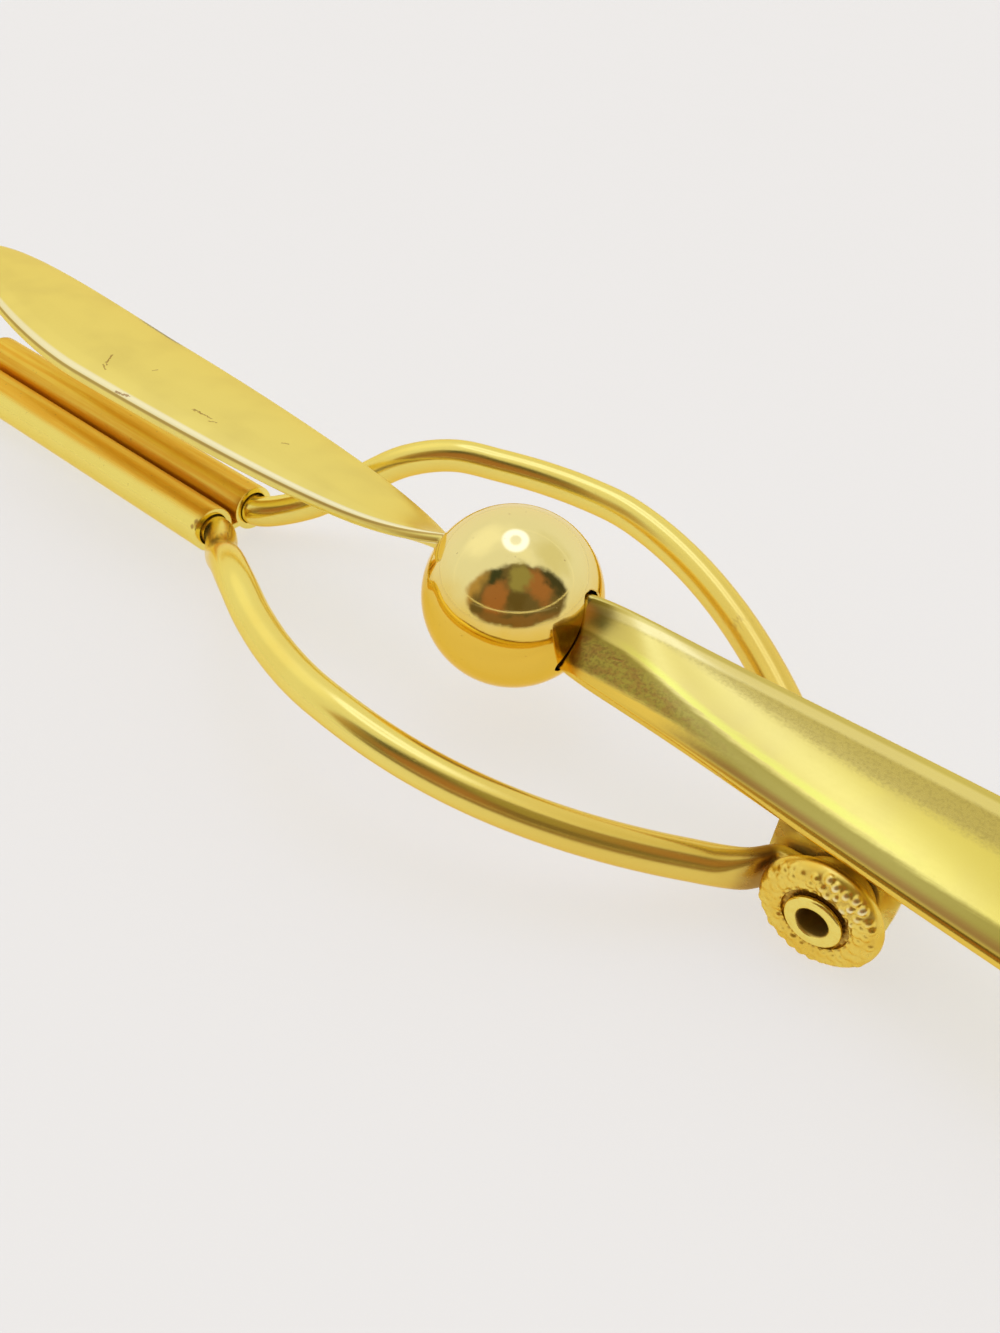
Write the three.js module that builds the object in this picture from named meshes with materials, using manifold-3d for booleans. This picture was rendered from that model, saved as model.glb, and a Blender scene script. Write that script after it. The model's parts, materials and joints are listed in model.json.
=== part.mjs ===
// Propeller tie bar: a two-bladed propeller on a ball hub, with a springy wire clip hinged under one blade.
// Millimetres. Pieces are laid out about the ball's centre, X along the propeller and Z up, and the
// finished assembly is then turned to lie on its wheels and jaw, with the origin under its middle.
import * as THREE from "three";
import { mergeVertices } from "three/addons/utils/BufferGeometryUtils.js";
import Module from "manifold-3d";

const { clamp, degToRad, lerp, smoothstep } = THREE.MathUtils;

// Ball hub
const ballRadius = 2.85;
const ballWall = 0.5;
const slotClearance = 0.08;
const slotSlack = 0.25;

// Blades
const bladeReach = 31.1;
const bladeThickness = 0.5;
const bladeLift = 0.1;
const bladeCrown = 0.5;
const crownAt = 0.88;
const edgeFall = 0.3;
const rootWidth = 2.46;
const fullWidth = 4.88;
const fullWidthAt = 22.5;
const tipLength = 11.94;
const tipRake = 1.64;
const rootTilt = degToRad(50);
const tipTilt = degToRad(1.8);
const twistLength = 2.04;
const tabEnd = 0.6;

// Hinge: rivet, wheels and bracket, all about one axis along Y
const hingeX = 12.55;
const wheelHang = 0.15;
const shankRadius = 0.62;
const rivetWall = 0.17;
const rivetLip = 0.2;
const lipThickness = 0.22;
const wheelRadius = 1.75;
const wheelThickness = 0.76;
const wheelRecess = 0.14;
const tyreDepth = 0.57;
const earGap = 1.4;
const earThickness = 0.42;
const earLength = 3.7;
const earBack = 2.15;
const earMargin = 0.61;
const earCorner = 0.9;
const webThickness = 0.45;
const runningClearance = 0.07;
const seatGap = 0.05;

// Clip wires
const wireDiameter = 1.18;
const ovalHalfWidth = 6.84;
const ovalMiddleX = -0.6;
const ovalTopZ = -0.53;
const flatThickness = 0.54;
const flatHeight = 1.6;
const pressLength = 1.35;
const eyeMargin = 0.43;
const tailDrop = 0.1;
const bendLead = 0.55;
const bendOut = 0.64;
const bendDrop = 0.35;

// Jaw
const jawX = -13.6;
const jawLength = 17.2;
const jawZ = -4.25;
const jawSlope = degToRad(1.3);
const rollGap = 0.2;
const sheetThickness = 0.26;
const sleeveClearance = 0.05;
const webDrop = 0.35;
const wireLead = 0.3;
const wireInset = 0.8;

// Smoothness of the round forms
const wireSides = 14;
const wireStep = 0.7;
const roundSides = 32;
const chordSteps = 12;

// Sizes that follow from those above
const rootAt = Math.sqrt(ballRadius ** 2 - (rootWidth / 2) ** 2);
const tipFrom = bladeReach - tipLength;
const hingeZ = bladeLift - bladeThickness / 2 - wheelHang - wheelRadius;
const holeRadius = shankRadius + runningClearance;
const eyeRadius = holeRadius + eyeMargin;
const earInner = earGap / 2;
const earOuter = earInner + earThickness;
const eyeInner = earOuter + runningClearance;
const eyeOuter = eyeInner + flatThickness;
const eyeMiddle = (eyeInner + eyeOuter) / 2;
const wheelInner = eyeOuter + runningClearance;
const wheelOuter = wheelInner + wheelThickness;
const lipInner = wheelOuter - wheelRecess + runningClearance;
const lipOuter = lipInner + lipThickness;
const lipRadius = shankRadius + rivetLip;
const wheelBack = hingeX - wheelRadius;
const bendX = wheelBack - bendLead;
const bendY = eyeMiddle + bendOut;
const bendZ = hingeZ - bendDrop;
const pressEnd = wheelBack - runningClearance;
const rollBore = wireDiameter / 2 + sleeveClearance;
const rollRadius = rollBore + sheetThickness;
const legY = rollRadius + rollGap / 2;

const wasm = await Module();
wasm.setup();

// A closed geometry as a solid that can be cut and joined.
function solidFrom(geometry) {
  const bare = new THREE.BufferGeometry();
  bare.setAttribute("position", geometry.getAttribute("position"));
  bare.setIndex(geometry.index);
  const merged = mergeVertices(bare);
  const vertProperties = merged.getAttribute("position").array;
  const triVerts = new Uint32Array(merged.index.array);
  return new wasm.Manifold(new wasm.Mesh({ numProp: 3, vertProperties, triVerts }));
}

function geometryFrom(solid) {
  const mesh = solid.getMesh();
  const geometry = new THREE.BufferGeometry();
  geometry.setAttribute("position", new THREE.BufferAttribute(mesh.vertProperties, 3));
  geometry.setIndex(new THREE.BufferAttribute(mesh.triVerts, 1));
  geometry.computeVertexNormals();
  return geometry;
}

// Skins a row of rings that have equal counts, and closes both ends across, point to opposite point.
function loft(rings) {
  const count = rings[0].length;
  const index = [];
  const quad = (a, b, c, d) => index.push(a, b, c, a, c, d);
  for (let ring = 0; ring + 1 < rings.length; ring++) {
    for (let i = 0; i < count; i++) {
      const a = ring * count + i;
      const b = ring * count + ((i + 1) % count);
      quad(a, b, b + count, a + count);
    }
  }
  const last = (rings.length - 1) * count;
  for (let i = 0; i < count / 2; i++) {
    const far = (count - i) % count;
    quad(far, count - i - 1, i + 1, i);
    quad(last + i, last + i + 1, last + count - i - 1, last + far);
  }
  const geometry = new THREE.BufferGeometry().setFromPoints(rings.flat());
  geometry.setIndex(index);
  geometry.computeVertexNormals();
  return geometry;
}

// A flat outline in X and Z, made solid from one Y to another.
function plateAcrossY(shape, fromY, toY) {
  const options = { depth: toY - fromY, bevelEnabled: false, curveSegments: roundSides };
  const turn = new THREE.Matrix4().makeRotationX(Math.PI / 2);
  return new THREE.ExtrudeGeometry(shape, options).applyMatrix4(turn).translate(0, toY, 0);
}

// An outline in Y and Z, made solid from one X to another.
function barAlongX(shape, fromX, toX) {
  const options = { depth: toX - fromX, bevelEnabled: false, curveSegments: roundSides };
  const axes = [new THREE.Vector3(0, 1, 0), new THREE.Vector3(0, 0, 1), new THREE.Vector3(1, 0, 0)];
  const turn = new THREE.Matrix4().makeBasis(...axes);
  return new THREE.ExtrudeGeometry(shape, options).applyMatrix4(turn).translate(fromX, 0, 0);
}

// A cylinder about the hinge axis, for bores and eyes.
function hingeCylinder(radius, middleY, length) {
  return new THREE.CylinderGeometry(radius, radius, length, roundSides).translate(hingeX, middleY, hingeZ);
}

// Blades

// Chord, tilt and crown of a blade at a distance from the ball's centre, and the tip's sideways rake.
function bladeAt(x) {
  const rakePower = 1.5;
  const out = Math.max(x - rootAt, 0);
  const grown = Math.sin((Math.PI / 2) * Math.min(out / (fullWidthAt - rootAt), 1));
  const tip = Math.max(x - tipFrom, 0) / tipLength;
  const width = (rootWidth + (fullWidth - rootWidth) * grown) * Math.sqrt(1 - tip * tip);
  const tilt = tipTilt + (rootTilt - tipTilt) * Math.exp(-out / twistLength);
  const crown = (bladeCrown * width) / fullWidth;
  return { width, tilt, crown, rake: tipRake * tip ** rakePower };
}

// The share of the crown at a place across the chord. It is greatest just inside the raised edge.
function crownShare(across) {
  if (across < crownAt) return 1 - ((crownAt - across) / (1 + crownAt)) ** 2;
  return 1 - edgeFall * ((across - crownAt) / (1 - crownAt)) ** 2;
}

// A point on the blade's skin: across runs from -1 to 1 over the chord, side is 1 above and -1 below.
// Spare grows the section all round, and slack lengthens it past the low edge.
function bladePoint(x, across, side, spare = 0, slack = 0) {
  const edgeSquareness = 6;
  const { width, tilt, crown, rake } = bladeAt(x);
  const place = across * (width / 2 + spare + (across < 0 ? slack : 0));
  const along = place - rake;
  const half = (bladeThickness / 2 + spare) * Math.sqrt(1 - across ** edgeSquareness);
  const height = crown * crownShare(clamp((2 * place) / width, -1, 1)) + side * half;
  const y = along * Math.cos(tilt) - height * Math.sin(tilt);
  const z = along * Math.sin(tilt) + height * Math.cos(tilt);
  return new THREE.Vector3(x, y, bladeLift + z);
}

function bladeRing(x, spare = 0, slack = 0) {
  const ring = [];
  for (let i = 0; i < 2 * chordSteps; i++) {
    const across = Math.cos((Math.PI * i) / chordSteps);
    ring.push(bladePoint(x, across, i < chordSteps ? 1 : -1, spare, slack));
  }
  return ring;
}

function bladeGeometry() {
  const bodySteps = 16;
  const rootCrowding = 1.5;
  const tipSteps = 7;
  const tipClose = 0.98;
  const stations = [tabEnd];
  for (let i = 0; i <= bodySteps; i++) {
    stations.push(rootAt + (tipFrom - rootAt) * (i / bodySteps) ** rootCrowding);
  }
  for (let i = 1; i <= tipSteps; i++) {
    stations.push(tipFrom + tipLength * Math.sin((Math.PI / 2) * tipClose * (i / tipSteps)));
  }
  return loft(stations.map((x) => bladeRing(x)));
}

// Ball hub: a hollow bead with one slot for each blade root.
function ballGeometry() {
  const outerSides = 40;
  const innerSides = 28;
  const bead = solidFrom(new THREE.SphereGeometry(ballRadius, outerSides, outerSides / 2));
  const hollow = solidFrom(new THREE.SphereGeometry(ballRadius - ballWall, innerSides, innerSides / 2));
  const slotStations = [tabEnd, rootAt, (rootAt + ballRadius) / 2, ballRadius + slotClearance];
  const slot = loft(slotStations.map((x) => bladeRing(x, slotClearance, slotSlack)));
  const rightSlot = solidFrom(slot);
  const leftSlot = solidFrom(slot.clone().rotateZ(Math.PI));
  return geometryFrom(bead.subtract(hollow).subtract(rightSlot).subtract(leftSlot));
}

// Hinge bracket: a folded U whose web lies along the blade's underside, with two rounded ears.
function bracketGeometry() {
  const fromX = hingeX - earBack;
  const toX = fromX + earLength;
  const underside = (y) => {
    const heights = [fromX, hingeX, toX].map((x) => bladePoint(x, (2 * y) / bladeAt(x).width, -1).z);
    return Math.min(...heights) - seatGap;
  };
  const nearTop = underside(-earOuter);
  const farTop = underside(earOuter);
  const slope = (farTop - nearTop) / (2 * earOuter);
  const webTop = (y) => nearTop + slope * (y + earOuter);
  const bottom = hingeZ - holeRadius - earMargin;
  const fold = new THREE.Shape();
  fold.moveTo(-earOuter, bottom);
  fold.lineTo(-earInner, bottom);
  fold.lineTo(-earInner, webTop(-earInner) - webThickness);
  fold.lineTo(earInner, webTop(earInner) - webThickness);
  fold.lineTo(earInner, bottom);
  fold.lineTo(earOuter, bottom);
  fold.lineTo(earOuter, farTop);
  fold.lineTo(-earOuter, nearTop);
  const top = Math.max(nearTop, farTop) + seatGap;
  const ear = new THREE.Shape();
  ear.moveTo(fromX, top);
  ear.lineTo(fromX, bottom + earCorner);
  ear.absarc(fromX + earCorner, bottom + earCorner, earCorner, Math.PI, 1.5 * Math.PI);
  ear.absarc(toX - earCorner, bottom + earCorner, earCorner, 1.5 * Math.PI, 2 * Math.PI);
  ear.lineTo(toX, top);
  const folded = solidFrom(barAlongX(fold, fromX, toX));
  const outline = solidFrom(plateAcrossY(ear, -earOuter, earOuter));
  const bore = solidFrom(hingeCylinder(holeRadius, 0, 2 * wheelOuter));
  return geometryFrom(folded.intersect(outline).subtract(bore));
}

// Axle rivet: a tube whose two ends are rolled over into lips outside the wheels.
function rivetGeometry() {
  const rivetBore = shankRadius - rivetWall;
  const round = lipThickness / 2;
  const lip = [
    [rivetBore, lipOuter - round],
    [rivetBore + round, lipOuter],
    [lipRadius - round, lipOuter],
    [lipRadius, lipOuter - round],
    [lipRadius - round / 2, lipInner],
    [shankRadius, lipInner],
  ];
  const upper = lip.map(([r, y]) => new THREE.Vector2(r, y));
  const lower = lip.map(([r, y]) => new THREE.Vector2(r, -y)).reverse();
  const profile = [...upper, ...lower, upper[0].clone()];
  return new THREE.LatheGeometry(profile.reverse(), roundSides).translate(hingeX, 0, hingeZ);
}

// A wheel: recessed round the rivet's lip, a flat hub face, then a rounded tyre.
function wheelGeometry(side) {
  const tyreSteps = 8;
  const tyreSquareness = 0.8;
  const tyreHalf = wheelThickness / 2;
  const recessRadius = lipRadius + 2 * runningClearance;
  const recessFloor = tyreHalf - wheelRecess;
  const profile = [[holeRadius, -tyreHalf]];
  for (let i = 0; i <= tyreSteps; i++) {
    const angle = Math.PI * (i / tyreSteps - 0.5);
    const bulge = Math.cos(angle) ** tyreSquareness;
    profile.push([wheelRadius - tyreDepth + tyreDepth * bulge, tyreHalf * Math.sin(angle)]);
  }
  profile.push([recessRadius, tyreHalf], [recessRadius, recessFloor], [holeRadius, recessFloor]);
  const points = profile.map(([r, y]) => new THREE.Vector2(r, y));
  points.push(points[0].clone());
  const wheel = new THREE.LatheGeometry(points, roundSides);
  wheel.translate(0, (wheelInner + wheelOuter) / 2, 0);
  if (side < 0) wheel.rotateX(Math.PI);
  return wheel.translate(hingeX, 0, hingeZ);
}

// Clip wires

// A point of the jaw's two legs, at a distance outwards from the jaw's mouth.
function legPoint(side, outwards) {
  const x = jawX - outwards * Math.cos(jawSlope);
  return new THREE.Vector3(x, side * legY, jawZ - outwards * Math.sin(jawSlope));
}

// One wire's centre line: from its eye past the wheel, round the ball, and along its leg in the jaw.
function wirePath(side) {
  const arcSteps = 8;
  const fallPower = 1.3;
  const jawFallFrom = 0.5;
  const eyeEnd = new THREE.Vector3(hingeX - eyeRadius / 2, side * eyeMiddle, hingeZ - tailDrop);
  const tailEnd = new THREE.Vector3(wheelBack, side * eyeMiddle, bendZ);
  const points = [eyeEnd, eyeEnd.clone().lerp(tailEnd, 0.5), tailEnd];
  for (let i = arcSteps; i >= 1; i--) {
    const s = i / arcSteps;
    const x = lerp(ovalMiddleX, bendX, s);
    const y = lerp(ovalHalfWidth, bendY, s * s);
    points.push(new THREE.Vector3(x, side * y, lerp(ovalTopZ, bendZ, s ** fallPower)));
  }
  for (let i = 0; i < arcSteps; i++) {
    const s = i / arcSteps;
    const x = lerp(ovalMiddleX, jawX + wireLead, s);
    const y = lerp(legY, ovalHalfWidth, Math.cos((Math.PI / 2) * s));
    points.push(new THREE.Vector3(x, side * y, lerp(ovalTopZ, jawZ, smoothstep(s, jawFallFrom, 1))));
  }
  for (const outwards of [-wireLead, wireLead, jawLength / 2, jawLength - wireInset]) {
    points.push(legPoint(side, outwards));
  }
  return new THREE.CatmullRomCurve3(points, false, "centripetal");
}

// A wire is round, and pressed flat where it runs past its wheel to the eye.
function wireRing(path, share) {
  const up = new THREE.Vector3(0, 0, 1);
  const at = path.getPointAt(share);
  const along = path.getTangentAt(share);
  const across = new THREE.Vector3().crossVectors(up, along).normalize();
  const above = new THREE.Vector3().crossVectors(along, across);
  const flat = smoothstep(at.x, pressEnd - pressLength, pressEnd);
  const halfWide = lerp(wireDiameter, flatThickness, flat) / 2;
  const halfHigh = lerp(wireDiameter, flatHeight, flat) / 2;
  const ring = [];
  for (let i = 0; i < wireSides; i++) {
    const angle = (2 * Math.PI * i) / wireSides;
    const point = at.clone().addScaledVector(across, halfWide * Math.cos(angle));
    ring.push(point.addScaledVector(above, halfHigh * Math.sin(angle)));
  }
  return ring;
}

function wireGeometry(side) {
  const path = wirePath(side);
  const steps = Math.round(path.getLength() / wireStep);
  const rings = [];
  for (let i = 0; i <= steps; i++) rings.push(wireRing(path, i / steps));
  const eye = solidFrom(hingeCylinder(eyeRadius, side * eyeMiddle, flatThickness));
  const bore = solidFrom(hingeCylinder(holeRadius, 0, 2 * wheelOuter));
  return geometryFrom(solidFrom(loft(rings)).add(eye).subtract(bore));
}

// Jaw sleeve: one sheet rolled round both legs, with a valley between the rolls.
function sleeveGeometry() {
  const topAngle = Math.asin((webDrop - sheetThickness / 2) / rollRadius);
  const bottomAngle = Math.asin((webDrop + sheetThickness / 2) / rollRadius);
  const outline = new THREE.Shape();
  outline.absarc(legY, 0, rollRadius, Math.PI + bottomAngle, 3 * Math.PI + topAngle);
  outline.absarc(-legY, 0, rollRadius, -topAngle, 2 * Math.PI - bottomAngle);
  for (const side of [-1, 1]) {
    outline.holes.push(new THREE.Path().absarc(side * legY, 0, rollBore, 0, 2 * Math.PI));
  }
  return barAlongX(outline, -jawLength, 0).rotateY(-jawSlope).translate(jawX, 0, jawZ);
}

// Assembly
const polishedGold = new THREE.MeshStandardMaterial({ color: 0xe6c25c, metalness: 1, roughness: 0.12 });
const satinGold = new THREE.MeshStandardMaterial({ color: 0xdcb950, metalness: 1, roughness: 0.32 });
const texturedGold = new THREE.MeshStandardMaterial({ color: 0xc79a3a, metalness: 1, roughness: 0.45 });

function piece(name, geometry, material) {
  const mesh = new THREE.Mesh(geometry, material);
  mesh.name = name;
  return mesh;
}

const blade = bladeGeometry();
const rightBlade = piece("right_blade", blade, satinGold);
const leftBlade = piece("left_blade", blade, satinGold);
leftBlade.rotation.z = Math.PI;

const layout = new THREE.Group();
layout.add(rightBlade, leftBlade);
layout.add(piece("hub_ball", ballGeometry(), polishedGold));
layout.add(piece("hinge_bracket", bracketGeometry(), satinGold));
layout.add(piece("axle_rivet", rivetGeometry(), polishedGold));
layout.add(piece("near_wheel", wheelGeometry(-1), texturedGold));
layout.add(piece("far_wheel", wheelGeometry(1), texturedGold));
layout.add(piece("near_wire", wireGeometry(-1), polishedGold));
layout.add(piece("far_wire", wireGeometry(1), polishedGold));
layout.add(piece("jaw_sleeve", sleeveGeometry(), polishedGold));

// The turn that brings the wheels and the jaw's inner end down onto one level.
const span = hingeX - (jawX + rollRadius * Math.sin(jawSlope));
const drop = hingeZ - (jawZ - rollRadius * Math.cos(jawSlope));
layout.rotation.y = Math.acos(wheelRadius / Math.hypot(span, drop)) - Math.atan2(span, drop);

const tieBar = new THREE.Group();
tieBar.add(layout);
tieBar.updateMatrixWorld(true);
const box = new THREE.Box3().setFromObject(tieBar, true);
const middle = box.getCenter(new THREE.Vector3());
layout.position.set(-middle.x, -middle.y, -box.min.z);

export default tieBar;
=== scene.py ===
import json
import math
import bmesh
import bpy
import numpy as np
from mathutils import Matrix, Vector


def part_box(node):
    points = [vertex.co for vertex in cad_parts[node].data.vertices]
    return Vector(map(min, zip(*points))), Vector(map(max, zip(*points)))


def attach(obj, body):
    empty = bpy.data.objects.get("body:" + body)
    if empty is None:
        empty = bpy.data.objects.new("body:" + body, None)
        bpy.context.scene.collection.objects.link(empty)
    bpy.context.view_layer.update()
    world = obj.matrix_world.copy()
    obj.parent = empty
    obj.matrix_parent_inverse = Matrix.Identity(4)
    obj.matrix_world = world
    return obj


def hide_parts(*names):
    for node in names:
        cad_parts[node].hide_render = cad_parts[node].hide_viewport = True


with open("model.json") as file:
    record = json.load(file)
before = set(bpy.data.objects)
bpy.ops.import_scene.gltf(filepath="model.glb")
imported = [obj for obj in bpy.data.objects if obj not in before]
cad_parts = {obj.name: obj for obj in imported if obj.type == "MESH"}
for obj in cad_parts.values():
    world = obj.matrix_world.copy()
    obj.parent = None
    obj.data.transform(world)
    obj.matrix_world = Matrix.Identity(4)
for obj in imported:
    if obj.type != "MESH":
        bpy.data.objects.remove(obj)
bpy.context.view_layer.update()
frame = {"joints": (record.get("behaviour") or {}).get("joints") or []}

# Pieces are laid out in millimetres about the ball's centre, X along the propeller and Z up.
# The hinge joint and the ball's box say where that layout lies in the frame.
hinge = {"x": 12.55, "z": -2.05, "joint": "clip_hinge"}
ballLow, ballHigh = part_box("hub_ball")
axle = next(Vector(j["pos_m"]) for j in frame["joints"] if j["name"] == hinge["joint"])
arm = axle - (ballLow + ballHigh) / 2
turn = math.atan2(hinge["z"], hinge["x"]) - math.atan2(arm.z, arm.x)
swing = Matrix.Rotation(turn, 4, "Y")
hub = axle - swing @ (Vector((hinge["x"], 0, hinge["z"])) / 1000)
lay = Matrix.Translation(hub) @ swing @ Matrix.Scale(0.001, 4)
axlePlace = np.array([hinge["x"], 0, hinge["z"]])
print("layout turned", round(math.degrees(turn), 3), "degrees, ball at", [round(v * 1000, 3) for v in hub])


def smooth(value, low, high):
    share = np.clip((np.asarray(value, float) - low) / (high - low), 0, 1)
    return share * share * (3 - 2 * share)


def partWay(start, end, share):
    return start + (end - start) * share


def fullTurn(count):
    return np.arange(count) * 2 * math.pi / count


def unit(rows):
    rows = np.asarray(rows, float)
    return rows / np.maximum(np.linalg.norm(rows, axis=-1, keepdims=True), 1e-12)


# Wraps a socket, so that sums on masks can be written as Python
class Signal:
    def __init__(self, finish, socket):
        self.finish = finish
        self.socket = socket

    def maths(self, operation, left, right):
        return self.finish.make("ShaderNodeMath", {"operation": operation}, {0: left, 1: right})

    def __add__(self, other):
        return self.maths("ADD", self, other)

    def __radd__(self, other):
        return self.maths("ADD", other, self)

    def __sub__(self, other):
        return self.maths("SUBTRACT", self, other)

    def __rsub__(self, other):
        return self.maths("SUBTRACT", other, self)

    def __mul__(self, other):
        return self.maths("MULTIPLY", self, other)

    def __rmul__(self, other):
        return self.maths("MULTIPLY", other, self)

    def __truediv__(self, other):
        return self.maths("DIVIDE", self, other)

    def __rtruediv__(self, other):
        return self.maths("DIVIDE", other, self)

    def __pow__(self, other):
        return self.maths("POWER", self, other)


# A node tree with one way to add a node, and a few short cuts made of it
class Finish:
    def __init__(self, tree):
        self.tree = tree

    def make(self, kind, settings=None, sockets=None, out=0):
        node = self.tree.nodes.new(kind)
        for key, value in (settings or {}).items():
            setattr(node, key, value)
        for key, value in (sockets or {}).items():
            if isinstance(value, Signal):
                self.tree.links.new(value.socket, node.inputs[key])
            else:
                node.inputs[key].default_value = value
        return Signal(self, node.outputs[out]) if node.outputs else None

    def vector(self, operation, left, right, out=0):
        return self.make("ShaderNodeVectorMath", {"operation": operation}, {0: left, 1: right}, out)

    def dot(self, left, right):
        return self.vector("DOT_PRODUCT", left, right, "Value")

    def size(self, value):
        return self.make("ShaderNodeMath", {"operation": "ABSOLUTE"}, {0: value})

    def skin(self, scale=(1, 1, 1)):
        place = self.make("ShaderNodeAttribute", {"attribute_name": "skin"}, {}, "Vector")
        return self.vector("MULTIPLY", place, scale)

    def noise(self, place, scale, detail=3, rough=0.6):
        sockets = {"Vector": place, "Scale": scale, "Detail": detail, "Roughness": rough}
        return self.make("ShaderNodeTexNoise", {}, sockets, "Fac")

    def rise(self, value, low, high):
        sockets = {"Value": value, "From Min": low, "From Max": high}
        return self.make("ShaderNodeMapRange", {"interpolation_type": "SMOOTHSTEP"}, sockets)

    def tint(self, mask, under, over):
        under, over = ((*c, 1) if isinstance(c, tuple) else c for c in (under, over))
        return self.make("ShaderNodeMix", {"data_type": "RGBA"}, {0: mask, 6: under, 7: over}, 2)

    # Lays gold colours over a ground, each by its mask
    def coats(self, ground, *layers):
        for mask, over in layers:
            ground = self.tint(mask, ground, gold[over])
        return ground

    def near(self, place, spot, inner, outer):
        return self.rise(self.vector("DISTANCE", place, spot, "Value"), outer, inner)

    # A hair scratch: a wavering line through a place, at an angle to X in the sheet's plane
    def scratch(self, place, spot):
        turn, reach, wide = math.radians(spot["turn"]), spot["size"], spot["wide"]
        start = self.vector("SUBTRACT", place, spot["at"])
        run = self.size(self.dot(start, (math.cos(turn), math.sin(turn), 0)))
        off = self.dot(start, (-math.sin(turn), math.cos(turn), 0))
        waver = (self.noise(place, 5.0) - 0.5) * (reach * 0.7)
        return self.rise(run, reach, reach * 0.75) * self.rise(self.size(off + waver), wide, wide * 0.4)

    def part(self, place, axis):
        return self.make("ShaderNodeSeparateXYZ", {}, {0: place}, axis)

    def mark(self, name):
        return self.make("ShaderNodeAttribute", {"attribute_name": name}, {}, "Fac")

    def bump(self, height, strength):
        sockets = {"Height": height, "Strength": strength, "Distance": 0.00001}
        return self.make("ShaderNodeBump", {}, sockets)


def newFinish(name):
    material = bpy.data.materials.new(name)
    material.use_nodes = True
    material.node_tree.nodes.clear()
    return material, Finish(material.node_tree)


def metal(finish, colour, rough, normal, coat=0.0, metallic=1.0):
    sockets = {"Base Color": colour, "Roughness": rough, "Metallic": metallic, "Normal": normal,
               "Specular Tint": (1.0, 0.86, 0.5, 1.0), "Coat Weight": coat, "Coat Roughness": 0.04}
    surface = finish.make("ShaderNodeBsdfPrincipled", {}, sockets)
    finish.make("ShaderNodeOutputMaterial", {}, {"Surface": surface})


# Colours of the gold plating, of what age and use leave on it, and of the painted reflections, highlights and
# shade laid over it
gold = {
    "plate": (0.93, 0.77, 0.19),
    "pale": (0.92, 0.79, 0.31),
    "khaki": (0.70, 0.56, 0.16),
    "dull": (0.62, 0.495, 0.12),
    "white": (0.97, 0.92, 0.66),
    "deep": (0.87, 0.575, 0.075),
    "olive": (0.36, 0.285, 0.045),
    "lime": (0.86, 0.84, 0.13),
    "amber": (0.80, 0.40, 0.03),
    # Also used for painted shade in gaps, grooves, the bore and behind the wheel
    "tarnishAndShade": (0.33, 0.155, 0.04),
    "dirt": (0.06, 0.032, 0.012),
    "bare": (0.62, 0.58, 0.48),
    "scuffed": (0.30, 0.27, 0.22),
    "sand": (0.925, 0.78, 0.215),
    "butter": (0.885, 0.74, 0.145),
}
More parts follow.
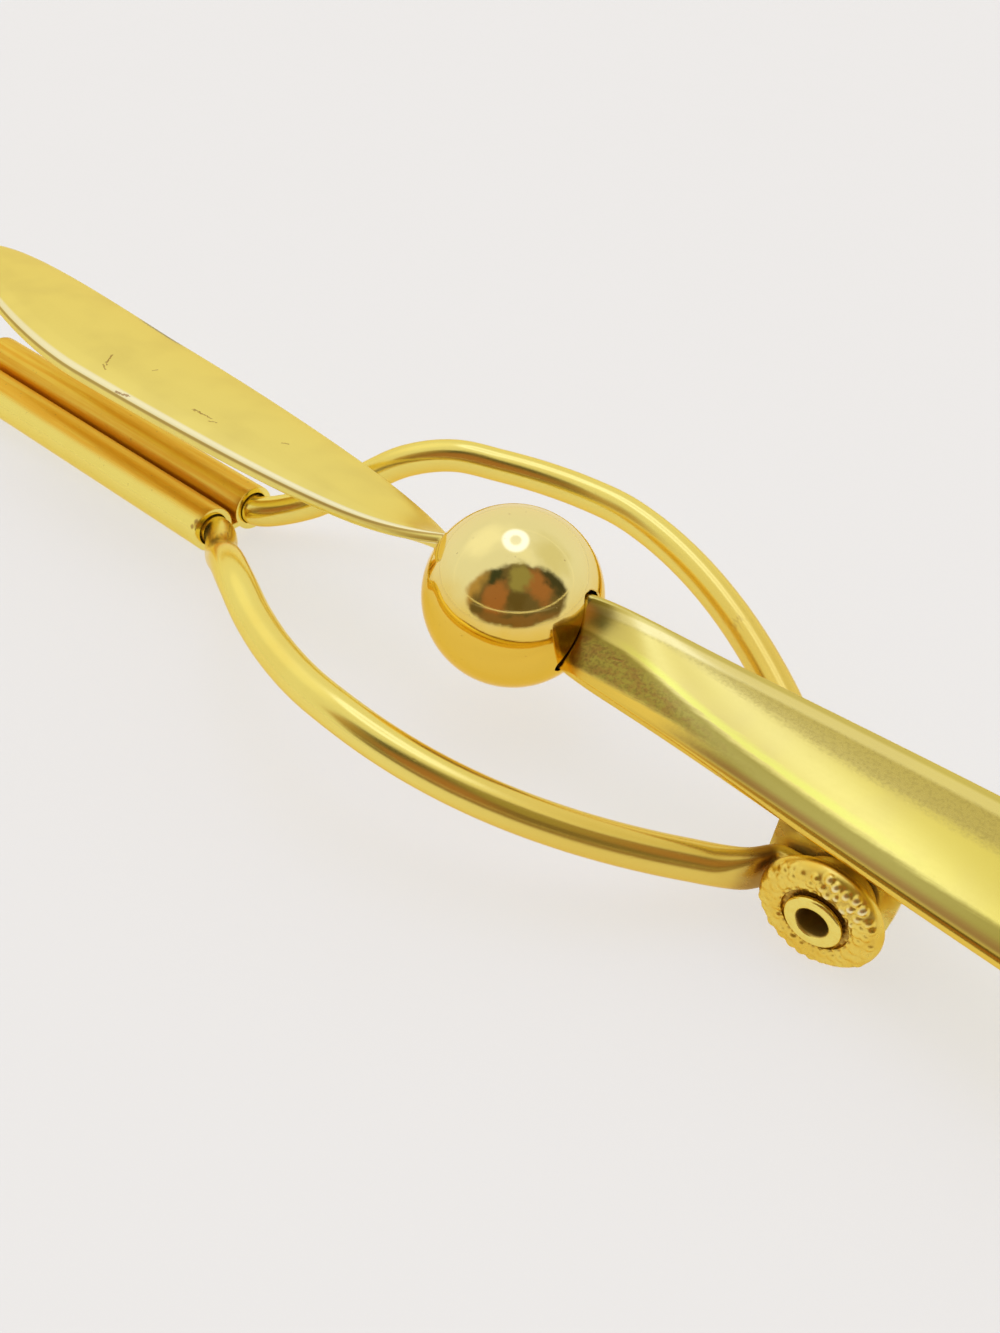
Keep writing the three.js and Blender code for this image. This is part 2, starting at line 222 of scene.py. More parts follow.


# Painted reflections of the tent: a pale painted line follows the crest, a grainy band of dim painted
# reflection (partly a duller finish) runs beside it, and the low side is painted as a dark reflection from
# the root on.
def bladeFinish(name, spots, wearAndSheen):
    material, f = newFinish(name)
    place = f.skin()
    along, across, rim = f.part(place, "X"), f.mark("across"), f.mark("rim")
    grain = f.noise(place, 11.0, 4, 0.7)
    streaks = f.noise(f.skin((0.25, 7.0, 1.0)), 1.6, 4, 0.6)
    clouds = f.noise(place, 0.45, 2, 0.5)
    specks = f.rise(f.noise(place, 7.5, 2, 0.5), 0.70, 0.77)
    worn = f.rise(rim * 0.6 + f.noise(place, 1.3) * 0.6, 0.98, 1.08)
    scuff = f.near(place, wearAndSheen["chafed"], 0.8, 1.8) * f.rise(rim + (grain - 0.5) * 1.4, 0.2, 0.5)
    # Painted reflection bands: a dim far strip, a pale line and a dim grainy band beside the crest; the
    # grainy band is partly a duller finish
    strip = f.rise(across, 0.76, 0.83) * wearAndSheen["bands"]
    line = f.rise(across, 0.55, 0.64) * f.rise(across, 0.83, 0.76) * wearAndSheen["bands"]
    spread = across + f.rise(along, 3.0, 12.0) * 0.50 + (streaks - 0.5) * 0.12 + (grain - 0.5) * 0.16
    band = f.rise(spread, 0.52, 0.76) * f.rise(across, 0.66, 0.56) * wearAndSheen["bands"]
    blotch = f.noise(f.skin((0.8, 1.3, 1.3)), 3.4, 5, 0.75)
    # Painted reflection on the low side from the root on: an orange painted reflection along the near edge
    # and at the root, a dark olive painted reflection of the dim room, painted brown shade in the root half
    # and along the near edge, and a lime painted reflection along the upper boundary of the dark zone
    edge = 0.87 / ((along / 6.2) ** 4 + 1) - 0.67 + (streaks - 0.5) * 0.08 + (blotch - 0.5) * 0.06
    under = f.rise(across + (streaks - 0.5) * 0.1, -0.66, -0.80) * f.rise(along, 9.0, 6.0)
    under = under + f.rise(across, -0.90, -0.97) * (1 - under)
    low = f.rise(across - edge, 0.03, -0.08) * (1 - under) * wearAndSheen["root"]
    brown = low * f.rise(along, 10.0, 5.0) * f.rise(across - edge, 0.0, -0.25)
    nearEdgeShade = low * f.rise(across, -0.78, -0.90)
    lime = f.rise(across - edge, 0.0, 0.05) * f.rise(across - edge, 0.20, 0.08) * wearAndSheen["root"]
    lime = lime * f.rise(along, 3.5, 5.5) * f.rise(along, 15.0, 11.0)
    freckles = f.rise(grain, 0.46, 0.60) * (brown * 0.6 + band * 0.3)
    # Painted highlight along the crest near the edge, and a thin painted dark line of shade just outside it
    crest = f.rise(across, 0.83, 0.88) * f.rise(across, 0.965, 0.94) * wearAndSheen["crest"]
    darkEdgeLine = f.rise(across, 0.95, 0.962) * f.rise(across, 0.99, 0.975) * wearAndSheen["crest"]
    pits = specks * 0.14
    for spot in spots:
        pits = pits + f.scratch(place, spot) * f.rise(grain, 0.34, 0.46) * spot["depth"]
    # Painted shade: the blade is dimmed towards khaki from the middle to the root
    shaded = f.rise(along, 15.0, 8.0) * wearAndSheen["root"]
    colour = f.coats(
        wearAndSheen["ground"], (f.rise(clouds, 0.40, 0.72) * 0.25 + shaded * 0.45, "khaki"),
        (band * 0.95 + strip * 0.6, "dull"), (line * 0.6, "pale"), (crest * 0.9, "white"),
        (darkEdgeLine * 0.8, "tarnishAndShade"), (under * wearAndSheen["root"] * 0.8, "deep"), (lime * 0.7, "lime"),
        (low * 0.95, "olive"), (nearEdgeShade * 0.7, "tarnishAndShade"),
        (brown * f.rise(blotch, 0.40, 0.62) * 0.6, "tarnishAndShade"), (freckles * 0.45, "dirt"),
        (f.rise(pits, 0.1, 0.9) * 0.75, "tarnishAndShade"), (worn * 0.6, "bare"), (scuff * wearAndSheen["scuff"], "scuffed"))
    rough = wearAndSheen["satin"] + grain * 0.08 + streaks * 0.05 + band * 0.06 + worn * 0.12
    height = grain * 0.35 * wearAndSheen["grit"] + streaks * 0.5 * wearAndSheen["grit"] - pits * 2.2 - freckles * 0.4
    metal(f, colour, rough, f.bump(height, 0.3))
    return material


def ballFinish(name):
    material, f = newFinish(name)
    place = f.skin()
    haze = f.noise(place, 0.8)
    specks = f.rise(f.noise(place, 7.0, 2, 0.5), 0.72, 0.78)
    lines = f.noise(f.skin((0.5, 0.5, 9.0)), 3.0)
    # Painted reflection: the lower part of the ball is painted deeper orange gold, where it reflects the
    # wires and floor
    warm = f.rise(f.part(place, "Z") + (haze - 0.5) * 0.8, 2.1, 0.4)
    colour = f.coats(gold["pale"], (warm, "deep"), (specks * 0.5, "tarnishAndShade"))
    rough = 0.045 + haze * 0.05 + specks * 0.2
    metal(f, colour, rough, f.bump(lines * 0.4 - specks, 0.08), (1 - warm) * 0.7)
    return material


def wireFinish(name, spots):
    material, f = newFinish(name)
    place = f.skin()
    drawn = f.noise(f.skin((0.10, 4.0, 4.0)), 2.2, 4, 0.65)
    haze = f.noise(place, 0.5)
    specks = f.rise(f.noise(place, 6.0, 2, 0.5), 0.70, 0.77)
    dents = specks * 0.3
    ragged = f.rise(f.noise(f.skin((0.5, 2.0, 2.0)), 5.0, 3, 0.7), 0.5, 0.6)
    for spot in spots:
        dents = dents + f.near(place, spot["at"], 0.0, spot["size"]) * ragged * spot["depth"]
    run = f.part(place, "X")
    heel = f.rise(run, 3.4, 1.2)
    handled = f.rise(run + haze * 2, 14.0, 7.0)
    # Painted reflection: the wire's lower side is painted deeper orange gold
    warm = f.rise(f.part(place, "Z") + (haze - 0.5) * 0.3, 0.15, -0.45)
    # Painted shadow where the wire runs behind the wheel
    dark = f.rise(run + haze, 3.2, 2.3) * f.rise(run, 1.0, 1.5)
    colour = f.coats(
        gold["plate"], (warm * 0.8 + f.rise(haze, 0.42, 0.72) * 0.15, "deep"), (handled * 0.5, "deep"),
        (heel * f.rise(haze, 0.3, 0.6) * 0.3, "tarnishAndShade"), (dark * 0.8, "tarnishAndShade"),
        (f.rise(dents, 0.15, 0.9) * 0.65, "tarnishAndShade"))
    rough = 0.15 + haze * 0.06 + drawn * 0.06 + heel * 0.10
    normal = f.bump(drawn * 0.5 - dents * 1.5, 0.25)
    metal(f, colour, rough, normal, metallic=0.95 - handled * 0.18)
    return material


def sleeveFinish(name, notches):
    material, f = newFinish(name)
    place = f.skin()
    drawn = f.noise(f.skin((0.12, 4.0, 4.0)), 1.9, 4, 0.65)
    haze = f.noise(place, 0.6)
    specks = f.rise(f.noise(place, 5.0, 2, 0.5), 0.69, 0.77)
    # Painted reflection: the rolls' upper and inner sides, where each roll faces the other, are painted deep
    # orange gold with lengthwise amber streaks
    valley = f.mark("valley")
    dull = valley * f.rise(f.noise(f.skin((0.07, 2.6, 2.6)), 1.6, 4, 0.65), 0.36, 0.62)
    # The notch spots are painted shade: small dark spots at the near roll's end where its notches are
    colour = f.coats(
        gold["plate"], (valley * 0.9 + f.rise(haze, 0.42, 0.72) * 0.1, "deep"), (dull * 0.7, "amber"),
        (specks * 0.35, "tarnishAndShade"), *((f.near(place, spot, 0.04, 0.13) * 0.7, "tarnishAndShade") for spot in notches))
    rough = 0.12 + haze * 0.05 + drawn * 0.06 + valley * 0.22
    metal(f, colour, rough, f.bump(drawn * 0.5 - specks, 0.25))
    return material


def bracketFinish(name):
    material, f = newFinish(name)
    place = f.skin()
    grain = f.noise(place, 8.0, 4, 0.65)
    haze = f.noise(place, 0.9)
    stain = f.rise(f.noise(place, 2.2, 3, 0.65), 0.5, 0.66)
    colour = f.coats(gold["plate"], (f.rise(haze, 0.4, 0.7) * 0.5, "deep"), (stain * 0.4, "amber"))
    rough = 0.16 + grain * 0.12 + stain * 0.1
    metal(f, colour, rough, f.bump(grain - stain, 0.3), metallic=0.7)
    return material


def rivetFinish(name):
    material, f = newFinish(name)
    place = f.skin()
    grain = f.noise(place, 9.0)
    inside = f.mark("inside")
    # Painted shade inside the bore: its wall is painted dark brown
    colour = f.coats(gold["plate"], (f.rise(grain, 0.4, 0.7) * 0.3, "deep"), (inside * 0.55, "tarnishAndShade"))
    rough = 0.14 + grain * 0.12 + inside * 0.3
    metal(f, colour, rough, f.bump(grain, 0.25))
    return material


def wheelFinish(name):
    material, f = newFinish(name)
    place = f.skin()
    grain = f.noise(place, 7.0, 4, 0.65)
    haze = f.noise(place, 1.2)
    # Painted shade in the tyre's grooves, between the pebbles and in the hub recess, and a painted highlight
    # on the pebble tops at the upper right
    hollowShade = f.mark("hollowShade")
    pebbleShade = f.rise(hollowShade + (grain - 0.5) * 0.4, 0.25, 0.85)
    colour = f.coats(
        gold["plate"], (f.rise(haze, 0.3, 0.7) * 0.5 + 0.4, "deep"), (pebbleShade * 0.7, "tarnishAndShade"),
        (f.rise(f.mark("pebbleHighlight"), 0.3, 0.8) * 0.6, "white"))
    rough = 0.24 + grain * 0.10 + pebbleShade * 0.15
    metal(f, colour, rough, f.bump(grain - pebbleShade * 0.5, 0.3))
    return material


# Keeps a number or a vector for each point, for the finishes to read
def setMark(mesh, key, values):
    values = np.asarray(values, np.float32)
    wide = values.ndim == 2
    layer = mesh.attributes.new(key, "FLOAT_VECTOR" if wide else "FLOAT", "POINT")
    layer.data.foreach_set("vector" if wide else "value", values.ravel())


def softShade(mesh, sharp):
    mesh.shade_smooth()
    mesh.set_sharp_from_angle(angle=math.radians(sharp))


# A mesh's points, back in layout millimetres
def layoutPlaces(mesh):
    places = np.zeros(len(mesh.vertices) * 3)
    mesh.vertices.foreach_get("co", places)
    back = np.array(lay.inverted())
    return places.reshape(-1, 3) @ back[:3, :3].T + back[:3, 3]


# Makes a mesh of layout points, in the frame's metres, with its skin coordinates and other marks
def newPiece(name, points, faces, marks, sharp=35):
    mesh = bpy.data.meshes.new(name)
    mesh.from_pydata([tuple(p) for p in points], [], faces)
    mesh.validate()
    for key, values in marks.items():
        setMark(mesh, key, values)
    mesh.transform(lay)
    softShade(mesh, sharp)
    mesh.update()
    piece = bpy.data.objects.new(name, mesh)
    bpy.context.scene.collection.objects.link(piece)
    return piece


def fit(piece, material, body, node):
    piece.data.materials.clear()
    piece.data.materials.append(material)
    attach(piece, body)
    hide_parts(node)
    print(piece.name, len(piece.data.polygons), "faces")


# Joins rows of points, all of one count, into quads. Rows close on themselves.
def rowQuads(rowCount, count, first=0):
    faces = []
    for row in range(rowCount - 1):
        for i in range(count):
            a = first + row * count + i
            b = first + row * count + (i + 1) % count
            faces.append((a, b, b + count, a + count))
    return faces


# The faces that close the first and the last row
def endCaps(count, total):
    return [tuple(reversed(range(count))), tuple(range(total - count, total))]


# Leaves a piece with the result of its modifiers as its mesh
def settle(piece):
    graph = bpy.context.evaluated_depsgraph_get()
    mesh = bpy.data.meshes.new_from_object(piece.evaluated_get(graph), depsgraph=graph)
    piece.modifiers.clear()
    old = piece.data
    piece.data = mesh
    bpy.data.meshes.remove(old)


# Cuts or joins two meshes and leaves the result in the first
def carve(piece, tool, operation):
    change = piece.modifiers.new(operation.lower(), "BOOLEAN")
    change.operation = operation
    change.solver = "EXACT"
    change.object = tool
    settle(piece)
    used = tool.data
    bpy.data.objects.remove(tool)
    bpy.data.meshes.remove(used)


# Turns every face outwards, after joining points that lie closer than the merge distance
def outward(piece, merge=0.0):
    work = bmesh.new()
    work.from_mesh(piece.data)
    if merge:
        bmesh.ops.remove_doubles(work, verts=work.verts, dist=merge)
    bmesh.ops.recalc_face_normals(work, faces=work.faces)
    work.to_mesh(piece.data)
    work.free()


blade = {
    "thickness": 0.5, "lift": 0.1, "crown": 0.5, "crownAt": 0.88, "edgeFall": 0.3,
    "rootWidth": 2.46, "fullWidth": 4.88, "fullWidthAt": 22.5,
    "reach": 31.098, "tipLength": 11.94, "tipRake": 1.64, "rakePower": 1.5, "tipClose": 0.98,
    "rootTilt": math.radians(50), "tipTilt": math.radians(1.8), "twistLength": 2.04,
    "tabEnd": 0.6, "tabStations": 4, "edgeThin": 0.4, "edgeRadius": 0.16,
    "topSteps": 52, "cornerSteps": 6, "stations": 130, "rootCrowd": 1.25, "tipStations": 34,
    "rimWidth": 0.35, "rimFull": 0.02,
}
ball = {
    "radius": 2.846, "wall": 0.5,
    "slotClearance": 0.08, "slotSlack": 0.03, "slotCorner": 0.3, "slotRim": 0.05, "rimSteps": 3,
    "slotTopSteps": 60, "slotCornerSteps": 10, "slotFill": 12,
    "archRise": 0.12, "archFrom": 0.2, "archFull": 0.9,
    "around": 256, "outwards": 36, "inwards": 8, "slotCrowd": 1.7, "merge": 1e-7,
}
blade["rootAt"] = math.sqrt(ball["radius"] ** 2 - (blade["rootWidth"] / 2) ** 2)
blade["tipFrom"] = blade["reach"] - blade["tipLength"]


# Chord, tilt, crown and rake of the blade at a distance from the ball's centre
def bladeAt(x):
    out = max(x - blade["rootAt"], 0)
    grown = math.sin(math.pi / 2 * min(out / (blade["fullWidthAt"] - blade["rootAt"]), 1))
    tip = max(x - blade["tipFrom"], 0) / blade["tipLength"]
    width = partWay(blade["rootWidth"], blade["fullWidth"], grown) * math.sqrt(1 - tip * tip)
    tilt = partWay(blade["tipTilt"], blade["rootTilt"], math.exp(-out / blade["twistLength"]))
    crown = blade["crown"] * width / blade["fullWidth"]
    return width, tilt, crown, blade["tipRake"] * tip ** blade["rakePower"]


# A rounded flat section: chord positions and heights about the middle, once round
def sheetSection(half, thick, thin, corner, topSteps, cornerSteps):
    corner = min(corner, half * 0.6)
    flat = half - corner
    run = np.sin(np.linspace(math.pi / 2, -math.pi / 2, topSteps)) * flat

    def halfThick(place):
        return thick / 2 * (1 - thin * (place / half) ** 4)

    edge = halfThick(flat)
    bend = min(corner, edge)
    angles = np.linspace(0, math.pi / 2, cornerSteps + 2)[1:]
    top = np.column_stack([run, halfThick(run)])
    nearTop = np.column_stack([-flat - corner * np.sin(angles), edge - bend + bend * np.cos(angles)])
    upper = np.vstack([top, nearTop])
    if edge - bend < 1e-4:
        upper = upper[:-1]
    lower = upper[::-1] * [1, -1]
    ring = np.vstack([upper, lower])
    farTop = np.column_stack([flat + corner * np.cos(angles), edge - bend + bend * np.sin(angles)])[:-1]
    start = np.array([[half, edge - bend]])
    return np.vstack([start, farTop, ring, farTop[::-1] * [1, -1], start * [1, -1]])


# Puts a section's points on the blade's crowned and tilted middle, as layout Y and Z
def onBlade(x, section, half):
    width, tilt, crown, rake = bladeAt(x)
    across = np.clip(section[:, 0] / half, -1, 1)
    inside = np.minimum(across - blade["crownAt"], 0) / (1 + blade["crownAt"])
    outside = np.maximum(across - blade["crownAt"], 0) / (1 - blade["crownAt"])
    height = crown * (1 - inside ** 2 - blade["edgeFall"] * outside ** 2) + section[:, 1]
    along = section[:, 0] - rake
    y = along * math.cos(tilt) - height * math.sin(tilt)
    z = along * math.sin(tilt) + height * math.cos(tilt)
    return np.column_stack([y, blade["lift"] + z])


def bladePiece(name, half):
    tab = np.linspace(blade["tabEnd"], blade["rootAt"], blade["tabStations"])[:-1]
    body = np.linspace(0, 1, blade["stations"]) ** blade["rootCrowd"]
    body = partWay(blade["rootAt"], blade["tipFrom"], body)
    tip = np.sin(math.pi / 2 * blade["tipClose"] * np.linspace(0, 1, blade["tipStations"])[1:])
    stations = [*tab, *body, *(blade["tipFrom"] + blade["tipLength"] * tip)]
    points, skin, rim, across = [], [], [], []
    for x in stations:
        c = bladeAt(x)[0] / 2
        section = sheetSection(c, blade["thickness"], blade["edgeThin"], blade["edgeRadius"],
                               blade["topSteps"], blade["cornerSteps"])
        place = onBlade(x, section, c)
        points.append(np.column_stack([np.full(len(place), x), place]))
        skin.append(np.column_stack([np.full(len(place), x), section]))
        rim.append(smooth(np.abs(section[:, 0]), c - blade["rimWidth"], c - blade["rimFull"]))
        across.append(np.clip(section[:, 0] / c, -1, 1))
    count = len(points[0])
    points = np.vstack(points)
    faces = rowQuads(len(stations), count) + endCaps(count, len(points))
    points[:, :2] *= half
    marks = {"skin": np.vstack(skin), "rim": np.concatenate(rim), "across": np.concatenate(across)}
    return newPiece(name, points, faces, marks, sharp=50)


# Each scratch has its place on the blade, turn in degrees, half length, half width and depth
def scratches(rows):
    return [dict(zip(("at", "turn", "size", "wide", "depth"), row)) for row in rows]


rightSpots = scratches([((4.2, -0.3, 0.25), 20, 0.3, 0.05, 0.7)])
leftSpots = scratches([
    ((18.70, 1.05, 0.25), 130, 0.5, 0.05, 1.1),
    ((18.35, 1.5, 0.25), 160, 0.25, 0.04, 0.8),
    ((16.45, 2.12, 0.25), 10, 0.4, 0.05, 1.0),
    ((13.52, 0.92, 0.25), 5, 0.55, 0.05, 1.1),
    ((12.9, 1.0, 0.25), 30, 0.2, 0.04, 0.8),
    ((10.34, -0.03, 0.25), 40, 0.16, 0.04, 0.8),
    ((17.1, 0.2, 0.25), 70, 0.14, 0.04, 0.7),
])
# Each blade's real scuffs and finish, and how strongly its painted root reflection, painted reflection bands
# and painted crest highlight show
rightWearAndSheen = {
    "ground": gold["butter"], "chafed": (26, 2.4, 0), "scuff": 0.0, "root": 1.0, "bands": 1.0, "crest": 0.0,
    "satin": 0.15, "grit": 0.5,
}
leftWearAndSheen = {
    "ground": gold["sand"], "chafed": (20.1, -2.0, 0), "scuff": 0.8, "root": 0.0, "bands": 0.05, "crest": 0.8,
    "satin": 0.26, "grit": 0.35,
}
rightBlade = bladePiece("rightBlade", 1)
leftBlade = bladePiece("leftBlade", -1)
rightGold = bladeFinish("satinGoldRight", rightSpots, rightWearAndSheen)
leftGold = bladeFinish("satinGoldLeft", leftSpots, leftWearAndSheen)
fit(rightBlade, rightGold, "propeller", "right_blade")
fit(leftBlade, leftGold, "propeller", "left_blade")
print("blades done")


# The blade slot's outline in Y and Z, sampled evenly in angle about its middle
def slotOutline(spare):
    half = blade["rootWidth"] / 2 + spare
    section = sheetSection(half, blade["thickness"] + 2 * spare, 0.0, ball["slotCorner"],
                           ball["slotTopSteps"], ball["slotCornerSteps"])
    dense = np.vstack([section, section[:1]])
    share = np.linspace(0, 1, ball["slotFill"], endpoint=False)[:, None]
    dense = np.vstack([partWay(a, b, share) for a, b in zip(dense[:-1], dense[1:])])
    dense[:, 0] *= np.where(dense[:, 0] < 0, 1 + ball["slotSlack"] / half, 1)
    arch = smooth(dense[:, 0] / half, ball["archFrom"], ball["archFull"])
    dense[:, 1] += ball["archRise"] * arch * (dense[:, 1] > 0)
    outline = onBlade(blade["rootAt"], dense, blade["rootWidth"] / 2)
    offset = outline - slotMiddle
    angle = np.arctan2(offset[:, 1], offset[:, 0]) % (2 * math.pi)
    order = np.argsort(angle)
    wanted = fullTurn(ball["around"])
    reach = np.interp(wanted, angle[order], np.hypot(*offset[order].T), period=2 * math.pi)
    return slotMiddle + np.column_stack([np.cos(wanted), np.sin(wanted)]) * reach[:, None]


def onSphere(outline, radius):
    return np.column_stack([np.sqrt(radius ** 2 - (outline ** 2).sum(1)), outline])


# Rows of points over a sphere, from a slot's rim to the great circle between the two blades
def capRows(rimPoints, radius, steps, crowd):
    angle = fullTurn(ball["around"])
    middle = np.column_stack([np.zeros(len(angle)), np.cos(angle), np.sin(angle)])
    start = unit(rimPoints)
    wide = np.arccos(np.clip((start * middle).sum(1), -1, 1))[:, None]
    rows = []
    for share in np.linspace(0, 1, steps + 1) ** crowd:
        row = np.sin((1 - share) * wide) * start + np.sin(share * wide) * middle
        rows.append(radius * row / np.sin(wide))
    return rows


def ballPiece():
    radius, inner, rim = ball["radius"], ball["radius"] - ball["wall"], ball["slotRim"]
    spare = ball["slotClearance"]
    rows = capRows(onSphere(slotOutline(spare), inner), inner, ball["inwards"], 1.0)[::-1]
    rows.append(onSphere(slotOutline(spare), radius - 0.5 * ball["wall"]))
    for bend in np.linspace(0, math.pi / 2, ball["rimSteps"] + 1)[:-1]:
        grow = rim * (1 - math.cos(bend))
        sink = rim * (1 - math.sin(bend))
        rows.append(onSphere(slotOutline(spare + grow), radius - sink))
    rows += capRows(onSphere(slotOutline(spare + rim), radius), radius, ball["outwards"], ball["slotCrowd"])
    cap = np.vstack(rows)
    points = np.vstack([cap, cap * [-1, -1, 1]])
    faces = rowQuads(len(rows), ball["around"]) + rowQuads(len(rows), ball["around"], len(cap))
    piece = newPiece("hubBall", points, faces, {"skin": points}, sharp=60)
    outward(piece, ball["merge"])
    return piece


slotMiddle = onBlade(blade["rootAt"], np.array([[0.0, 0.0]]), blade["rootWidth"] / 2)[0]
fit(ballPiece(), ballFinish("mirrorGold"), "propeller", "hub_ball")
print("ball done")

rivet = {
    "shank": 0.62, "wall": 0.17, "lip": 0.2, "lipThickness": 0.22, "lipInner": 2.49,
    "flare": 0.13, "round": 0.1, "around": 96, "bends": 7,
}
wheel = {
    "radius": 1.748, "thickness": 0.76, "recess": 0.14, "tyreDepth": 0.57, "squareness": 0.8,
    "inner": 1.80, "hole": 0.69, "recessRadius": 0.96, "recessEdge": (0.95, 0.97), "edge": 0.03, "seed": 11,
    "around": 240, "tyreSteps": 44, "faceSteps": 8,
    "teeth": 24, "toothDepth": 0.05, "toothed": (1.12, 0.99), "tries": 3000,
    "pebbled": (1.12, 1.62), "pebblePitch": 0.23, "pebbleHeight": 0.11, "pebbleSize": (0.55, 0.75),
    "pebbleLift": (0.6, 1), "leastLift": 0.6, "crowdAt": 1.18, "crowdSpread": 0.75,
    # The painted shade between pebbles: its band of radius, its fall with pebble height and its share
    "shadeFrom": (1.06, 1.16), "shadeTo": (1.7, 1.6), "shadeLow": (0.025, 0.0), "shadeShare": 0.55,
}


# Turns a profile of radius and distance along Y once round the hinge axis
def lathe(profile, around):
    angle = fullTurn(around)
    rows = [np.column_stack([r * np.cos(angle), np.full(around, y), r * np.sin(angle)]) for r, y in profile]
    total = len(rows) * around
    faces = [tuple(i % total for i in quad) for quad in rowQuads(len(rows) + 1, around)]
    return np.vstack(rows), faces


def rivetPiece():
    bore, flare, soft = rivet["shank"] - rivet["wall"], rivet["flare"], rivet["round"]
    lipOuter = rivet["lipInner"] + rivet["lipThickness"]
    edge = rivet["shank"] + rivet["lip"]
    bend = np.linspace(0, math.pi / 2, rivet["bends"])
    mouth = [(bore + flare * (1 - math.cos(b)), lipOuter - flare * 0.8 * (1 - math.sin(b))) for b in bend]
    top = [(bore + flare + 0.06, lipOuter), (edge - 0.13, lipOuter - 0.01)]
    low = lipOuter - (soft + 0.01)
    shoulder = [(edge - soft + soft * math.sin(b), low + soft * math.cos(b)) for b in bend]
    under = [(edge - 0.02, rivet["lipInner"] + 0.04), (edge - 0.06, rivet["lipInner"])]
    neck = [(rivet["shank"] + 0.02, rivet["lipInner"]), (rivet["shank"], rivet["lipInner"] - 0.02)]
    half = [(bore, lipOuter - 0.3)] + mouth + top + shoulder + under + neck
    profile = half + [(r, -y) for r, y in half[::-1]]
    points, faces = lathe(profile, rivet["around"])
    inside = np.repeat([1.0 if r < bore + 0.03 else 0.0 for r, y in profile], rivet["around"])
    marks = {"skin": points, "inside": inside}
    return newPiece("axleRivet", points + axlePlace, faces, marks, sharp=40)


fit(rivetPiece(), rivetFinish("rivetGold"), "propeller", "axle_rivet")


def wheelPiece(name, side):
    rng = np.random.default_rng(wheel["seed"] + (1 if side > 0 else 0))
    half = wheel["thickness"] / 2
    depth, edge, hole, recess = (wheel[key] for key in ("tyreDepth", "edge", "hole", "recess"))
    flatAt = wheel["radius"] - depth
    tyre = []
    for angle in np.linspace(-math.pi / 2, math.pi / 2, wheel["tyreSteps"] + 1):
        bulge = max(math.cos(angle), 0) ** wheel["squareness"]
        tyre.append((flatAt + depth * bulge, half * math.sin(angle)))
    face = [(r, half) for r in np.linspace(flatAt, wheel["recessRadius"] + edge, wheel["faceSteps"])[1:]]
    lip = [(wheel["recessRadius"], half - edge), (wheel["recessRadius"], half - recess)]
    floor = [(hole + edge, half - recess), (hole, half - recess - edge)]
    back = [(hole, -half + edge), (hole + edge, -half)]
    profile = back + tyre + face + lip + floor
    points, faces = lathe(profile, wheel["around"])
    run = np.gradient(np.array(profile), axis=0)
    out = unit(np.column_stack([run[:, 1], -run[:, 0]])).repeat(wheel["around"], axis=0)
    radius = np.hypot(points[:, 0], points[:, 2])
    angle = np.arctan2(points[:, 2], points[:, 0])
    outer = smooth(points[:, 1], half * 0.25, half * 0.6) * smooth(radius, *wheel["recessEdge"])
    rise = np.zeros(len(points))
    aside = (angle - wheel["crowdAt"] + math.pi) % (2 * math.pi) - math.pi
    crowd = np.exp(-(aside / wheel["crowdSpread"]) ** 2)
    strong = partWay(wheel["leastLift"], 1, crowd)
    placed = []
    for _ in range(wheel["tries"]):
        place, reach = rng.uniform(0, 2 * math.pi), rng.uniform(*wheel["pebbled"])
        middle = reach * np.array([math.cos(place), math.sin(place)])
        if all(np.hypot(*(middle - other)) > wheel["pebblePitch"] for other in placed):
            placed.append(middle)
    for middle in placed:
        size = wheel["pebblePitch"] * rng.uniform(*wheel["pebbleSize"])
        lift = wheel["pebbleHeight"] * strong * rng.uniform(*wheel["pebbleLift"])
        gap = (points[:, 0] - middle[0]) ** 2 + (points[:, 2] - middle[1]) ** 2
        rise = np.maximum(rise, lift * (1 - gap / size ** 2))
    # Painted shade between the pebbles, strongest at the upper right
    between = strong * smooth(radius, *wheel["shadeFrom"]) * smooth(radius, *wheel["shadeTo"])
    between = between * smooth(rise, *wheel["shadeLow"])
    # Painted highlight on the pebble tops at the upper right
    pebbleHighlight = np.clip(rise / wheel["pebbleHeight"], 0, 1) * crowd * outer
    teeth = 0.5 + 0.5 * np.cos(angle * wheel["teeth"])
    rise -= wheel["toothDepth"] * teeth * smooth(radius, *wheel["toothed"])
    rise *= outer
    points += (rise * out[:, 0] / radius)[:, None] * points * [1, 0, 1]
    points[:, 1] += rise * out[:, 1]
    # Painted shade in the hub recess, added to the painted shade in the grooves and between the pebbles
    pocket = smooth(points[:, 1], half - 0.06, half - 0.1) * smooth(radius, *wheel["recessEdge"][::-1])
    hollowShade = np.maximum(np.clip(-rise / 0.06, 0, 1), between * outer * wheel["shadeShare"]) + pocket
    skin = points.copy()
    points[:, 1] += wheel["inner"] + half
    if side < 0:
        points[:, 1] *= -1
        faces = [face[::-1] for face in faces]
    marks = {"skin": skin, "hollowShade": hollowShade, "pebbleHighlight": pebbleHighlight}
    return newPiece(name, points + axlePlace, faces, marks, sharp=50)


wheelGold = wheelFinish("stampedGold")
fit(wheelPiece("nearWheel", -1), wheelGold, "near_wheel", "near_wheel")
fit(wheelPiece("farWheel", 1), wheelGold, "far_wheel", "far_wheel")
print("wheels and rivet done")

